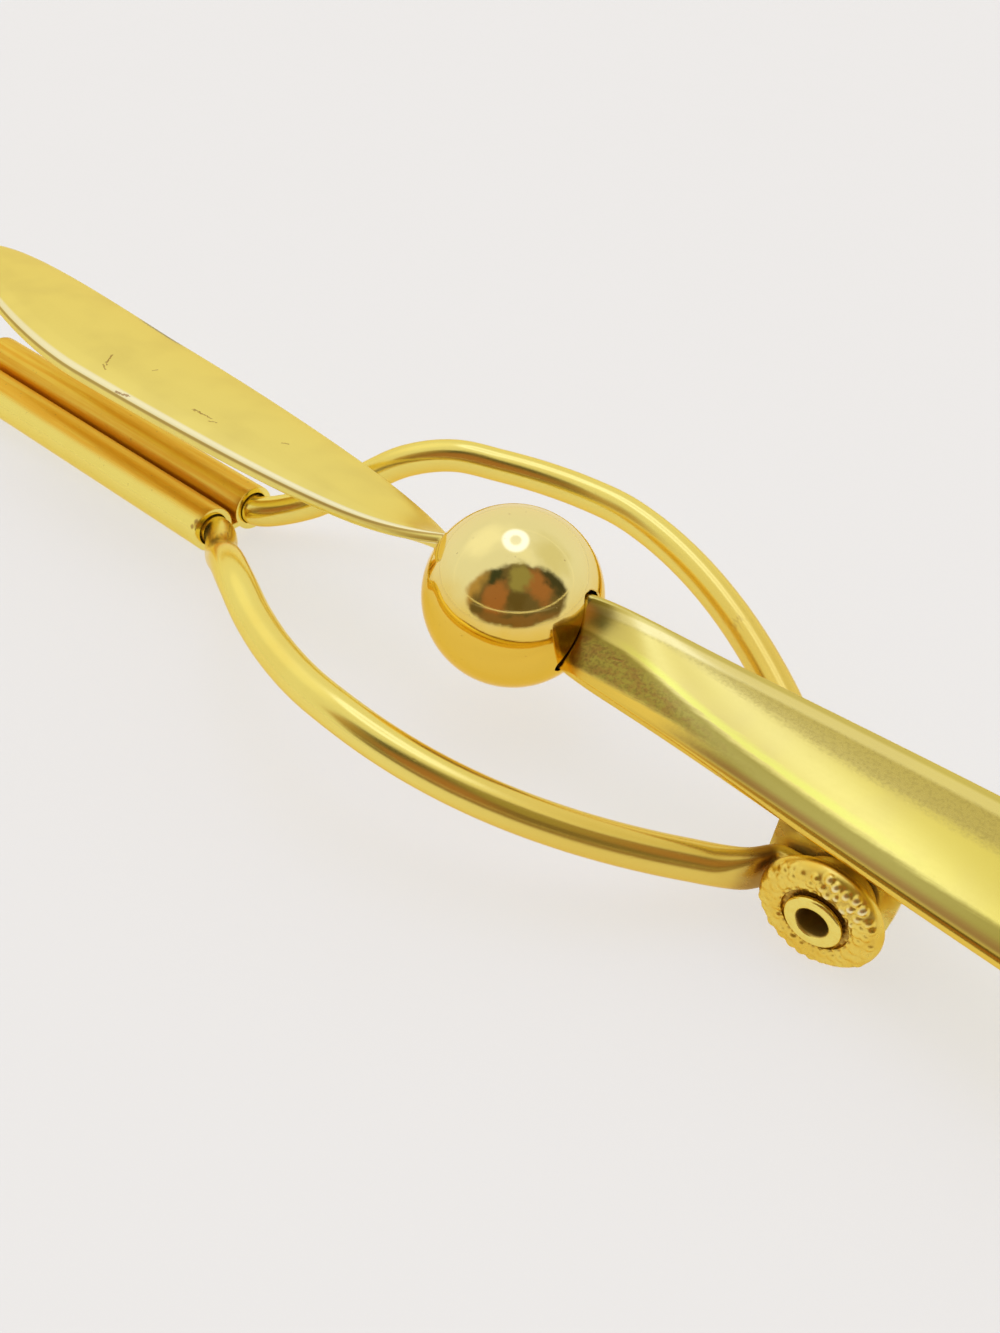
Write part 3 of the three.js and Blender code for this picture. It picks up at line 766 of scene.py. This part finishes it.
wire = {
    "diameter": 1.18, "sides": 40, "step": 0.16, "guides": 8, "samples": 60,
    "ovalHalfWidth": 6.836, "ovalMiddleX": -0.6, "ovalTopZ": -0.53,
    "flatThickness": 0.54, "flatHeight": 1.6, "pressLength": 1.35, "pressEnd": 10.73,
    "squareness": 0.45, "eyeRadius": 1.12, "eyeMiddle": 1.46, "eyeSoft": 0.08, "eyeCore": 0.3, "eyeSides": 64,
    "holeRadius": 0.69, "holeReach": 4, "holeCore": 0.02, "tailDrop": 0.1, "wheelBack": 10.8,
    "bend": (10.25, 2.10, -2.40), "fallPower": 1.3, "jawFallFrom": 0.5,
}
jaw = {
    "x": -13.6, "length": 17.2, "z": -4.25, "slope": math.radians(1.3), "legY": 1.0,
    "rollRadius": 0.899, "bore": 0.64, "webDrop": 0.35, "sheet": 0.26,
    "wireLead": 0.3, "wireInset": 0.8, "endBevel": 0.05, "endRun": 0.4, "stations": 40,
    "rollSteps": 72, "boreSteps": 48,
    "notches": [(-0.14, -1.62, 0.65), (-0.22, -1.78, 0.44)],
}


# Points the wire passes through: eye, tail, round the ball, and along its leg in the jaw
def wireGuides(side):
    bendX, bendY, bendZ = wire["bend"]
    eyeEnd = np.array([hinge["x"] - wire["eyeRadius"] / 2, wire["eyeMiddle"], hinge["z"] - wire["tailDrop"]])
    tailEnd = np.array([wire["wheelBack"], wire["eyeMiddle"], bendZ])
    rows = [eyeEnd, (eyeEnd + tailEnd) / 2, tailEnd]
    shares = np.arange(wire["guides"] + 1) / wire["guides"]
    for s in shares[:0:-1]:
        rows.append([partWay(wire["ovalMiddleX"], bendX, s), partWay(wire["ovalHalfWidth"], bendY, s * s),
                     partWay(wire["ovalTopZ"], bendZ, s ** wire["fallPower"])])
    for s in shares[:-1]:
        rows.append([partWay(wire["ovalMiddleX"], jaw["x"] + jaw["wireLead"], s),
                     partWay(jaw["legY"], wire["ovalHalfWidth"], math.cos(math.pi / 2 * s)),
                     partWay(wire["ovalTopZ"], jaw["z"], float(smooth(s, wire["jawFallFrom"], 1)))])
    runX, runZ = math.cos(jaw["slope"]), math.sin(jaw["slope"])
    for out in (-jaw["wireLead"], jaw["wireLead"], jaw["length"] / 2, jaw["length"] - jaw["wireInset"]):
        rows.append([jaw["x"] - out * runX, jaw["legY"], jaw["z"] - out * runZ])
    return np.array(rows) * [1, side, 1]


# A smooth curve through the points, with knots spaced by the root of the distance
def throughPoints(guides, step):
    ends = np.vstack([2 * guides[0] - guides[1], guides, 2 * guides[-1] - guides[-2]])
    found = []
    for p0, p1, p2, p3 in zip(ends, ends[1:], ends[2:], ends[3:]):
        d0, d1, d2 = (max(np.linalg.norm(b - a), 1e-9) ** 0.5 for a, b in ((p0, p1), (p1, p2), (p2, p3)))
        t1 = ((p1 - p0) / d0 - (p2 - p0) / (d0 + d1) + (p2 - p1) / d1) * d1
        t2 = ((p2 - p1) / d1 - (p3 - p1) / (d1 + d2) + (p3 - p2) / d2) * d1
        s = np.linspace(0, 1, wire["samples"], endpoint=False)[:, None]
        c2 = -3 * p1 + 3 * p2 - 2 * t1 - t2
        c3 = 2 * p1 - 2 * p2 + t1 + t2
        found.append(p1 + t1 * s + c2 * s ** 2 + c3 * s ** 3)
    line = np.vstack(found + [guides[-1:]])
    gone = np.concatenate([[0], np.cumsum(np.linalg.norm(np.diff(line, axis=0), axis=1))])
    wanted = np.linspace(0, gone[-1], int(round(gone[-1] / step)) + 1)
    return np.column_stack([np.interp(wanted, gone, line[:, i]) for i in range(3)]), wanted


def wirePiece(name, side):
    line, gone = throughPoints(wireGuides(side), wire["step"])
    along = unit(np.gradient(line, axis=0))
    across = unit(np.cross([0, 0, 1], along))
    above = np.cross(along, across)
    flat = smooth(line[:, 0], wire["pressEnd"] - wire["pressLength"], wire["pressEnd"])[:, None]
    wide = partWay(wire["diameter"], wire["flatThickness"], flat) / 2
    high = partWay(wire["diameter"], wire["flatHeight"], flat) / 2
    turns = fullTurn(wire["sides"])

    def pressed(values):
        return np.sign(values) * np.abs(values) ** (1 - wire["squareness"] * flat)

    offWide = wide * pressed(np.cos(turns)[None, :])
    offHigh = high * pressed(np.sin(turns)[None, :])
    rings = line[:, None] + across[:, None] * offWide[..., None] + above[:, None] * offHigh[..., None]
    points = rings.reshape(-1, 3)
    faces = rowQuads(len(line), wire["sides"]) + endCaps(wire["sides"], len(points))
    piece = newPiece(name, points, faces, {}, sharp=50)
    carve(piece, eyePiece(side), "UNION")
    carve(piece, borePiece(), "DIFFERENCE")
    mesh = piece.data
    place = layoutPlaces(mesh)
    closest = np.array([np.argmin(((line - p) ** 2).sum(1)) for p in place])
    off = place - line[closest]
    skin = np.column_stack([gone[closest] + (off * along[closest]).sum(1),
                            (off * across[closest]).sum(1), (off * above[closest]).sum(1)])
    setMark(mesh, "skin", skin)
    softShade(mesh, 40)
    return piece


# The flattened eye that goes round the rivet, with softened edges
def eyePiece(side):
    half, r, soft = wire["flatThickness"] / 2, wire["eyeRadius"], wire["eyeSoft"]
    profile = [(wire["eyeCore"], -half), (r - soft, -half)]
    profile += [(r - soft * 0.3, -half + soft * 0.3), (r, -half + soft)]
    profile += [(a, -b) for a, b in profile[::-1]]
    points, faces = lathe(profile, wire["eyeSides"])
    faces = [face[::-1] for face in faces]
    points = points + [hinge["x"], side * wire["eyeMiddle"], hinge["z"]]
    eye = newPiece("eyeTool", points, faces, {})
    outward(eye)
    return eye


def borePiece():
    r, reach, core = wire["holeRadius"], wire["holeReach"], wire["holeCore"]
    points, faces = lathe([(r, -reach), (r, reach), (core, reach), (core, -reach)], wire["eyeSides"])
    bore = newPiece("boreTool", points + axlePlace, faces, {})
    outward(bore)
    return bore


nearSpots = [
    {"at": (27.9, -0.35, 0.45), "size": 1.4, "depth": 1.0},
    {"at": (26.5, 0.3, 0.45), "size": 0.9, "depth": 0.8},
]
farSpots = [{"at": (8.0, 0.3, 0.5), "size": 1.2, "depth": 0.5}]
nearGold = wireFinish("drawnGoldNear", nearSpots)
farGold = wireFinish("drawnGoldFar", farSpots)
fit(wirePiece("nearWire", -1), nearGold, "clip_arm", "near_wire")
fit(wirePiece("farWire", 1), farGold, "clip_arm", "far_wire")
print("wires done")


# The sheet's outline in Y and Z: both rolls and the web between them, once round
def sleeveOutline(shrink):
    radius = jaw["rollRadius"] - shrink
    topAngle = math.asin((jaw["webDrop"] - jaw["sheet"] / 2 + shrink) / radius)
    bottomAngle = math.asin((jaw["webDrop"] + jaw["sheet"] / 2 - shrink) / radius)
    right = np.linspace(-math.pi + bottomAngle, math.pi + topAngle, jaw["rollSteps"])
    right = np.column_stack([jaw["legY"] + radius * np.cos(right), radius * np.sin(right)])
    left = right[::-1] * [-1, 1]
    return np.vstack([right, left])


def boreOutline(side, grow):
    radius = jaw["bore"] + grow
    turns = np.linspace(0, 2 * math.pi, jaw["boreSteps"], endpoint=False)
    return np.column_stack([side * jaw["legY"] + radius * np.cos(turns), radius * np.sin(turns)])


def sleevePiece():
    bevel, length, endRun = jaw["endBevel"], jaw["length"], jaw["endRun"]
    work = bmesh.new()
    places = [0.0, bevel * 0.3, bevel] + list(np.linspace(endRun, length - endRun, jaw["stations"]))
    places += [length - bevel, length - bevel * 0.3, length]
    shrinks = [bevel, bevel * 0.3, 0] + [0] * jaw["stations"] + [0, bevel * 0.3, bevel]
    ends = []
    for side in (0, -1, 1):  # the sheet, then a bore on each side
        rows = []
        for place, shrink in zip(places, shrinks):
            loop = boreOutline(side, shrink) if side else sleeveOutline(shrink)
            rows.append([work.verts.new((-place, y, z)) for y, z in loop])
        for a, b in zip(rows[:-1], rows[1:]):
            for i in range(len(a)):
                j = (i + 1) % len(a)
                work.faces.new((a[i], a[j], b[j], b[i]))
        ends.append((rows[0], rows[-1]))
    for which in (0, 1):
        edges = []
        for pair in ends:
            row = pair[which]
            edges += [work.edges.get((row[i], row[(i + 1) % len(row)])) for i in range(len(row))]
        bmesh.ops.triangle_fill(work, use_beauty=True, edges=edges)
    bmesh.ops.recalc_face_normals(work, faces=work.faces)
    work.verts.index_update()
    skin = np.array([v.co[:] for v in work.verts])
    faces = [tuple(v.index for v in face.verts) for face in work.faces]
    work.free()
    put = np.array(Matrix.Translation((jaw["x"], 0, jaw["z"])) @ Matrix.Rotation(-jaw["slope"], 4, "Y"))
    points = skin @ put[:3, :3].T + put[:3, 3]
    side, above = skin[:, 1], skin[:, 2]
    # Marks the rolls' upper and inner sides for the painted reflection
    valley = smooth(side, -1.64, -1.38) * smooth(side, 1.75, 1.15) * smooth(above, -0.4, -0.1)
    outside = np.abs(np.hypot(np.abs(side) - jaw["legY"], above) - jaw["rollRadius"]) < 0.02
    return newPiece("jawSleeve", points, faces, {"skin": skin, "valley": valley * outside})


fit(sleevePiece(), sleeveFinish("rolledGold", jaw["notches"]), "clip_arm", "jaw_sleeve")
print("jaw done")

bracket = {
    "earGap": 1.4, "earThickness": 0.42, "earLength": 3.7, "earBack": 2.15, "earMargin": 0.61,
    "earCorner": 0.9, "cornerSteps": 14, "toolDepth": 4, "toolRise": 1,
    "web": 0.45, "seatGap": 0.05, "bendOuter": 0.32, "bendInner": 0.12,
    "bevel": 0.05, "bevelSteps": 3, "bevelAngle": math.radians(50),
}


def bracketPiece():
    inner, outer = bracket["earGap"] / 2, bracket["earGap"] / 2 + bracket["earThickness"]
    fromX = hinge["x"] - bracket["earBack"]
    toX = fromX + bracket["earLength"]
    bottom = hinge["z"] - wire["holeRadius"] - bracket["earMargin"]

    # The highest that the bracket can stand at a place across, under the blade
    def under(y):
        foot = np.array([[y, -blade["thickness"] / 2]])
        lowest = min(onBlade(x, foot, bladeAt(x)[0] / 2)[0][1] for x in (fromX, hinge["x"], toX))
        return lowest - bracket["seatGap"]

    nearTop, farTop = under(-outer), under(outer)
    slope = (farTop - nearTop) / (2 * outer)

    def webLow(y):
        return nearTop + slope * (y + outer) - bracket["web"]

    lean = math.atan(slope)
    down, web = (0, -1), np.array([math.cos(lean), math.sin(lean)])
    fold = [(-outer, bottom), (-inner, bottom)]
    fold += corner((-inner, webLow(-inner)), down, web, bracket["bendInner"])
    fold += corner((inner, webLow(inner)), -web, down, bracket["bendInner"])
    fold += [(inner, bottom), (outer, bottom)]
    fold += corner((outer, farTop), down, -web, bracket["bendOuter"])
    fold += corner((-outer, nearTop), web, down, bracket["bendOuter"])
    bar = prism("hingeBracket", [(fromX, y, z) for y, z in fold], (bracket["earLength"], 0, 0))
    top = max(nearTop, farTop) + bracket["toolRise"]
    r, depth = bracket["earCorner"], bracket["toolDepth"]
    arc = np.linspace(0, math.pi / 2, bracket["cornerSteps"])
    ear = [(fromX, top)]
    ear += [(fromX + r - r * math.cos(b), bottom + r - r * math.sin(b)) for b in arc]
    ear += [(toX - r + r * math.sin(b), bottom + r - r * math.cos(b)) for b in arc]
    ear += [(toX, top)]
    plate = prism("earTool", [(x, -depth / 2, z) for x, z in ear], (0, depth, 0))
    carve(bar, plate, "INTERSECT")
    carve(bar, borePiece(), "DIFFERENCE")
    soften = bar.modifiers.new("soften", "BEVEL")
    soften.width = bracket["bevel"] / 1000
    soften.segments = bracket["bevelSteps"]
    soften.limit_method = "ANGLE"
    soften.angle_limit = bracket["bevelAngle"]
    settle(bar)
    setMark(bar.data, "skin", layoutPlaces(bar.data))
    softShade(bar.data, 35)
    return bar


# Rounds a corner between two directions that lead away from it
def corner(at, first, second, radius, steps=8):
    at, first, second = (np.array(v, float) for v in (at, first, second))
    half = math.acos(float(np.clip(first @ second, -1, 1))) / 2
    away = radius / math.tan(half)
    middle = at + unit(first + second) * radius / math.sin(half)
    start, end = at + first * away - middle, at + second * away - middle
    wide = math.acos(float(np.clip(unit(start) @ unit(end), -1, 1)))
    rows = []
    for s in np.linspace(0, 1, steps):
        rows.append(middle + (math.sin((1 - s) * wide) * start + math.sin(s * wide) * end) / math.sin(wide))
    return [tuple(row) for row in rows]


def prism(name, outline, push):
    count = len(outline)
    points = np.array(outline + [tuple(np.add(p, push)) for p in outline])
    faces = [tuple(range(count)), tuple(range(2 * count - 1, count - 1, -1))]
    faces += [(i, (i + 1) % count, count + (i + 1) % count, count + i) for i in range(count)]
    piece = newPiece(name, points, faces, {})
    outward(piece)
    return piece


fit(bracketPiece(), bracketFinish("foldedGold"), "propeller", "hinge_bracket")
print("bracket done")

# A patch of sky is its azimuth, elevation, width and height in degrees. Glows and things add a colour.
stage = {
    "floorSize": 4.0, "floorSteps": 24, "clear": 0.65,
    "paper": (0.965, 0.952, 0.938), "fibre": (0.945, 0.93, 0.912),
    "tent": (0.84, 0.825, 0.80), "wall": (0.86, 0.84, 0.83),
    "backdrop": (0.862, 0.848, 0.838), "stirScale": 4.2, "stirBy": 0.42,
    "lamp": {"patch": (128, 70, 13, 17), "core": 0.44, "colour": (1.3, 1.42, 2.3)},
    "hoop": {"patch": (-53, 73.5, 75, 54.5), "half": 0.022, "colour": (1.0, 0.98, 0.92)},
    "glows": [
        ((55, 47, 24, 20), (0.74, 0.70, 0.54)),
        ((176, 50, 24, 18), (1.0, 0.98, 0.94)),
        ((91, 82, 20, 10), (0.92, 0.90, 0.84)),
        ((-40, 73, 8, 8), (0.36, 0.31, 0.14)),
    ],
    "mouth": (-46, 38, 66, 40),
    "sill": {"el": 18, "half": 1.1, "colour": (0.75, 0.66, 0.45)},
    "room": (0.15, 0.11, 0.055),
    "things": [
        ((-78, 32, 17, 24), (0.36, 0.155, 0.065)),
        ((-6, 44, 17, 22), (0.36, 0.155, 0.065)),
        ((-40, 59, 14, 16), (0.31, 0.27, 0.11)),
        ((-47, 32, 12, 14), (0.13, 0.09, 0.035)),
        ((-104, 55, 14, 12), (0.05, 0.055, 0.03)),
        ((22, 38, 12, 20), (0.06, 0.055, 0.03)),
        ((-46, 8, 50, 7), (0.24, 0.14, 0.07)),
        ((-124, 26, 17, 32), (0.46, 0.29, 0.11)),
    ],
}


def heading(az, el):
    az, el = math.radians(az), math.radians(el)
    return (math.cos(el) * math.cos(az), math.cos(el) * math.sin(az), math.sin(el))


# The paper is partly clear, over a sky of its own colour, so that an opened clip shows below it
def floorPiece():
    steps = stage["floorSteps"]
    work = bmesh.new()
    bmesh.ops.create_grid(work, x_segments=steps, y_segments=steps, size=stage["floorSize"])
    mesh = bpy.data.meshes.new("paperFloor")
    work.to_mesh(mesh)
    work.free()
    floor = bpy.data.objects.new("paperFloor", mesh)
    bpy.context.scene.collection.objects.link(floor)
    material, f = newFinish("paper")
    place = f.make("ShaderNodeTexCoord", {}, {}, "Object")
    mottle = f.noise(place, 60)
    colour = f.tint(f.rise(mottle, 0.3, 0.8) * 0.5, stage["paper"], stage["fibre"])
    sockets = {"Base Color": colour, "Roughness": 0.9, "Specular IOR Level": 0.1}
    matt = f.make("ShaderNodeBsdfPrincipled", {}, sockets)
    clear = f.make("ShaderNodeBsdfTransparent")
    surface = f.make("ShaderNodeMixShader", {}, {0: stage["clear"], 1: matt, 2: clear})
    f.make("ShaderNodeOutputMaterial", {}, {"Surface": surface})
    mesh.materials.append(material)


# A white tent with a round lamp high behind the object, and a dim opening on the viewer's side
def tentWorld():
    world = bpy.data.worlds.new("tent")
    bpy.context.scene.world = world
    world.use_nodes = True
    world.node_tree.nodes.clear()
    f = Finish(world.node_tree)
    aim = f.make("ShaderNodeTexCoord", {}, {}, "Generated")
    sockets = {"Vector": aim, "Scale": stage["stirScale"], "Detail": 4}
    stir = f.make("ShaderNodeTexNoise", {}, sockets, "Color")
    stir = f.vector("SUBTRACT", stir, (0.5, 0.5, 0.5))
    stir = f.vector("ADD", aim, f.vector("MULTIPLY", stir, (stage["stirBy"],) * 3))

    # 0 in the middle of an oval patch of sky and 1 at its edge
    def patch(place, spot):
        az, el, width, height = spot
        middle = Vector(heading(az, el))
        side = Vector(heading(az + 90, 0))
        over = middle.cross(side)
        wide = f.dot(place, side) / math.tan(math.radians(width / 2))
        high = f.dot(place, over) / math.tan(math.radians(height / 2))
        return (wide * wide + high * high) ** 0.5 / (f.dot(place, middle) + 1.0001)

    sill, hoop, lamp = stage["sill"], stage["hoop"], stage["lamp"]
    up = f.part(aim, "Z")
    height = f.make("ShaderNodeMath", {"operation": "ARCSINE"}, {0: up}) * (180 / math.pi)
    behind = f.dot(aim, heading(lamp["patch"][0], 0))
    colour = f.tint(f.rise(height, 45, 5) * f.rise(behind, 0.1, 0.7), stage["tent"], stage["wall"])
    for spot, over in stage["glows"]:
        colour = f.tint(f.rise(patch(stir, spot), 1.5, 0.3), colour, over)
    room = stage["room"]
    for spot, over in stage["things"]:
        room = f.tint(f.rise(patch(stir, spot), 1.3, 0.55), room, over)
    gap = f.size(height - sill["el"])
    room = f.tint(f.rise(gap, sill["half"], sill["half"] * 0.4), room, sill["colour"])
    mouth = patch(aim, stage["mouth"]) * 0.45 + patch(stir, stage["mouth"]) * 0.55
    colour = f.tint(f.rise(mouth, 1.06, 0.88), colour, room)
    rim = f.size(patch(aim, hoop["patch"]) - 1)
    colour = f.tint(f.rise(rim, hoop["half"], 0.0) * f.rise(up, 0.2, 0.35) * 0.6, colour, hoop["colour"])
    disc, core = patch(aim, lamp["patch"]), lamp["core"]
    lit = f.rise(disc, 1.15, 0.85) * (1 - f.rise(disc, core * 1.25, core * 0.75) * 0.72)
    colour = f.tint(lit, colour, lamp["colour"])
    seen = f.make("ShaderNodeLightPath", {}, {}, "Is Camera Ray")
    colour = f.tint(seen, colour, stage["backdrop"])
    colour = f.tint(f.rise(height, 0.0, -3.5), colour, stage["paper"])
    light = f.make("ShaderNodeBackground", {}, {"Color": colour, "Strength": 1.0})
    f.make("ShaderNodeOutputWorld", {}, {"Surface": light})


floorPiece()
tentWorld()
print("floor and tent done")

view = {
    "at": (16.7494, -21.780, 21.6345), "turn": (48.1448, -1.9175, 39.9129), "lens": 30.426, "sensor": 36,
    "nearest": 0.001, "farthest": 10,
}


def addCamera():
    data = bpy.data.cameras.new("photoView")
    data.lens = view["lens"]
    data.sensor_width = view["sensor"]
    data.clip_start = view["nearest"]
    data.clip_end = view["farthest"]
    camera = bpy.data.objects.new("photoView", data)
    camera.location = hub + Vector(view["at"]) / 1000
    camera.rotation_euler = [math.radians(v) for v in view["turn"]]
    bpy.context.scene.collection.objects.link(camera)
    bpy.context.scene.camera = camera


addCamera()
bpy.context.scene.view_settings.view_transform = "Standard"
bpy.context.view_layer.update()
